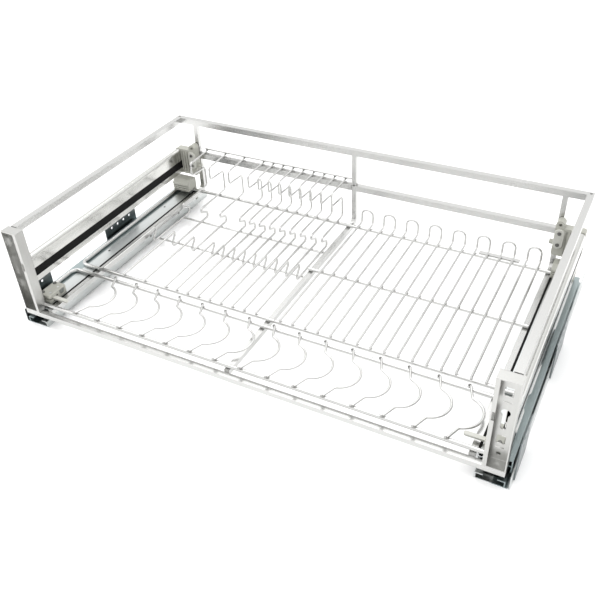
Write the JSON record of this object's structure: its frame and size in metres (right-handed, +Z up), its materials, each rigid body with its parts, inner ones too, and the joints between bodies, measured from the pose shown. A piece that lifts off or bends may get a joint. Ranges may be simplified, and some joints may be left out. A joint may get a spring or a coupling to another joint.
{
  "type": "dish drying rack",
  "caption": "Pull-out dish drying rack for a kitchen cabinet: wire basket with gallery rail, plate and bowl slots, on full-extension undermount slides.",
  "frame": {"origin": "under the middle of the rack, on the plane of the cabinet rails' undersides, drawer closed", "axes": "+X right across the cabinet, +Y to the rear of the cabinet, +Z up"},
  "size_m": [0.764, 0.452, 0.168],
  "materials": {
    "zinc_plate": "satin zinc plate",
    "dark_zinc": "satin dark plate",
    "zinc_screw": "satin zinc plate",
    "wire_steel": "electropolished wire",
    "tube_steel": "satin electropolished tube",
    "brushed_bracket": "brushed",
    "polished_panel": "polished and anodised",
    "black_insert": "satin black",
    "cream_moulding": "moulded nylon",
    "cream_cover": "moulded nylon",
    "grey_moulding": "moulded nylon",
    "white_roller": "smooth acetal"
  },
  "bodies": {
    "cabinet_rails": {"left_cabinet_rail": "zinc_plate", "left_front_mounting_plate": "dark_zinc", "left_rear_mounting_plate": "dark_zinc", "left_plate_rivets": "zinc_plate", "right_cabinet_rail": "zinc_plate", "right_front_mounting_plate": "dark_zinc", "right_rear_mounting_plate": "dark_zinc", "right_plate_rivets": "zinc_plate"},
    "left_middle": {"left_middle_rail": "zinc_plate"},
    "left_lower_roller_cage": {"left_lower_cage": "cream_moulding", "left_lower_rollers": "white_roller"},
    "left_upper_roller_cage": {"left_upper_cage": "cream_moulding", "left_upper_rollers": "white_roller"},
    "left_lever": {"left_release_lever": "cream_cover"},
    "left_wheel": {"left_height_wheel": "grey_moulding"},
    "right_middle": {"right_middle_rail": "zinc_plate"},
    "right_lower_roller_cage": {"right_lower_cage": "cream_moulding", "right_lower_rollers": "white_roller"},
    "right_upper_roller_cage": {"right_upper_cage": "cream_moulding", "right_upper_rollers": "white_roller"},
    "right_lever": {"right_release_lever": "cream_cover"},
    "right_wheel": {"right_height_wheel": "grey_moulding"},
    "drawer": {"bay_cross_wires": "wire_steel", "blank_plate": "wire_steel", "bowl_frame_wire": "wire_steel", "bowl_front_wire": "wire_steel", "bowl_wires": "wire_steel", "centre_beam": "tube_steel", "dish_wires": "wire_steel", "floor_wires": "wire_steel", "front_rail": "tube_steel", "gallery_rail": "tube_steel", "hook_wire": "wire_steel", "left_beam": "tube_steel", "left_block_cover": "cream_cover", "left_bracket": "brushed_bracket", "left_clip_pins": "zinc_plate", "left_drawer_rail": "zinc_plate", "left_lock_clip": "cream_moulding", "left_panel_inserts": "black_insert", "left_rear_block": "cream_moulding", "left_rear_catch": "cream_moulding", "left_screws": "zinc_screw", "left_side_panel": "polished_panel", "main_frame_wire": "wire_steel", "middle_wire": "wire_steel", "rear_rail": "tube_steel", "right_beam": "tube_steel", "right_block_cover": "cream_cover", "right_bracket": "brushed_bracket", "right_clip_pins": "zinc_plate", "right_drawer_rail": "zinc_plate", "right_lock_clip": "cream_moulding", "right_panel_inserts": "black_insert", "right_rear_block": "cream_moulding", "right_rear_catch": "cream_moulding", "right_screws": "zinc_screw", "right_side_panel": "polished_panel"}
  },
  "joints": [
    {"name": "drawer_slide", "type": "slide", "parent": "cabinet_rails", "child": "drawer", "axis": [0, -1, 0], "range_m": [0, 0.42]},
    {"name": "left_middle_slide", "type": "slide", "parent": "cabinet_rails", "child": "left_middle", "axis": [0, -1, 0], "range_m": [0, 0.21]},
    {"name": "left_lower_roller_cage_slide", "type": "slide", "parent": "cabinet_rails", "child": "left_lower_roller_cage", "axis": [0, -1, 0], "range_m": [0, 0.105]},
    {"name": "left_upper_roller_cage_slide", "type": "slide", "parent": "cabinet_rails", "child": "left_upper_roller_cage", "axis": [0, -1, 0], "range_m": [0, 0.315]},
    {"name": "left_lever_hinge", "type": "hinge", "parent": "drawer", "child": "left_lever", "pos_m": [-0.345, -0.195, 0.0381], "axis": [0, 0, -1], "range_deg": [0, 15]},
    {"name": "left_wheel_turn", "type": "hinge", "parent": "drawer", "child": "left_wheel", "pos_m": [-0.345, -0.178, 0.0396], "axis": [0, 0, -1], "range_deg": [-150, 150]},
    {"name": "right_middle_slide", "type": "slide", "parent": "cabinet_rails", "child": "right_middle", "axis": [0, -1, 0], "range_m": [0, 0.21]},
    {"name": "right_lower_roller_cage_slide", "type": "slide", "parent": "cabinet_rails", "child": "right_lower_roller_cage", "axis": [0, -1, 0], "range_m": [0, 0.105]},
    {"name": "right_upper_roller_cage_slide", "type": "slide", "parent": "cabinet_rails", "child": "right_upper_roller_cage", "axis": [0, -1, 0], "range_m": [0, 0.315]},
    {"name": "right_lever_hinge", "type": "hinge", "parent": "drawer", "child": "right_lever", "pos_m": [0.345, -0.195, 0.0381], "axis": [0, 0, 1], "range_deg": [0, 15]},
    {"name": "right_wheel_turn", "type": "hinge", "parent": "drawer", "child": "right_wheel", "pos_m": [0.345, -0.178, 0.0396], "axis": [0, 0, 1], "range_deg": [-150, 150]}
  ],
  "couplings": [
    {"joint": "left_middle_slide", "follows": "drawer_slide", "ratio": 0.5},
    {"joint": "left_lower_roller_cage_slide", "follows": "drawer_slide", "ratio": 0.25},
    {"joint": "left_upper_roller_cage_slide", "follows": "drawer_slide", "ratio": 0.75},
    {"joint": "right_middle_slide", "follows": "drawer_slide", "ratio": 0.5},
    {"joint": "right_lower_roller_cage_slide", "follows": "drawer_slide", "ratio": 0.25},
    {"joint": "right_upper_roller_cage_slide", "follows": "drawer_slide", "ratio": 0.75}
  ]
}
